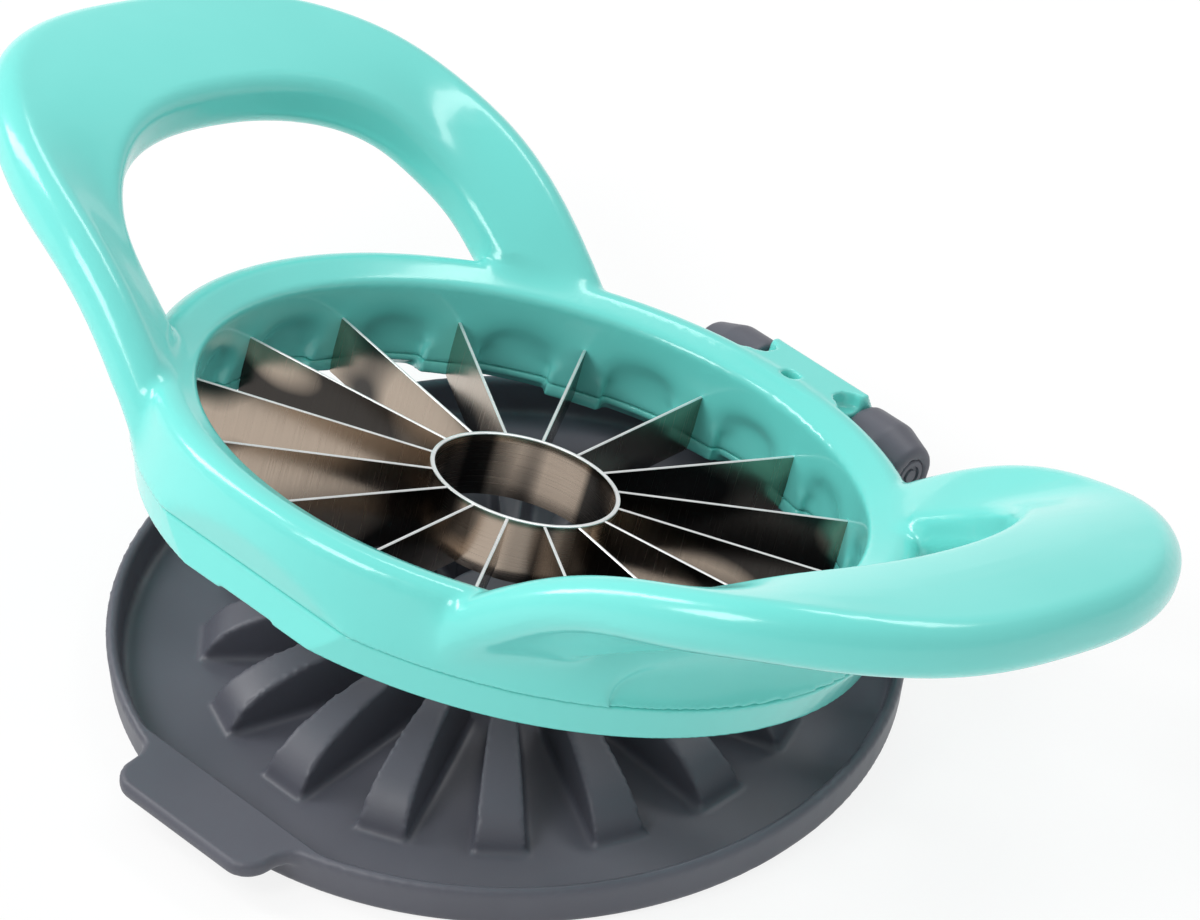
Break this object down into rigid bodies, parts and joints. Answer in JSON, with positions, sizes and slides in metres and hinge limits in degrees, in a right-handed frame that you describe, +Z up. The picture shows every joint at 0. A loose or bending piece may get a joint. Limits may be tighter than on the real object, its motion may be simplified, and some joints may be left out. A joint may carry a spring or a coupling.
{
  "type": "apple slicer wedger press",
  "caption": "Hinged apple slicer and corer: a round blade frame with loop handles is pushed down over a finned base that drives the wedges through the blades.",
  "frame": {"origin": "centre of the round base, on the surface that the base stands on", "axes": "+Z up, +Y towards the hinge, -Y towards the lifting tab, +X and -X towards the two loop handles"},
  "size_m": [0.1976, 0.1343, 0.0726],
  "materials": {
    "frame_teal": "glossy moulded aqua plastic, fine mould texture and light handling marks",
    "base_grey": "satin dark grey moulded plastic",
    "blade_steel": "polished stainless strip with bright ground edges"
  },
  "bodies": {
    "base": {"base_tray": "base_grey", "hinge_pin_left": "base_grey", "hinge_pin_right": "base_grey"},
    "cutting_frame": {"frame_shell": "frame_teal", "blade_retainer": "frame_teal", "core_ring": "blade_steel", "blade_01": "blade_steel", "blade_02": "blade_steel", "blade_03": "blade_steel", "blade_04": "blade_steel", "blade_05": "blade_steel", "blade_06": "blade_steel", "blade_07": "blade_steel", "blade_08": "blade_steel", "blade_09": "blade_steel", "blade_10": "blade_steel", "blade_11": "blade_steel", "blade_12": "blade_steel", "blade_13": "blade_steel", "blade_14": "blade_steel", "blade_15": "blade_steel", "blade_16": "blade_steel"}
  },
  "joints": [
    {"name": "frame_hinge", "type": "hinge", "parent": "base", "child": "cutting_frame", "pos_m": [0, 0.063, 0.0124], "axis": [-1, 0, 0], "range_deg": [-18.2, 100]}
  ]
}
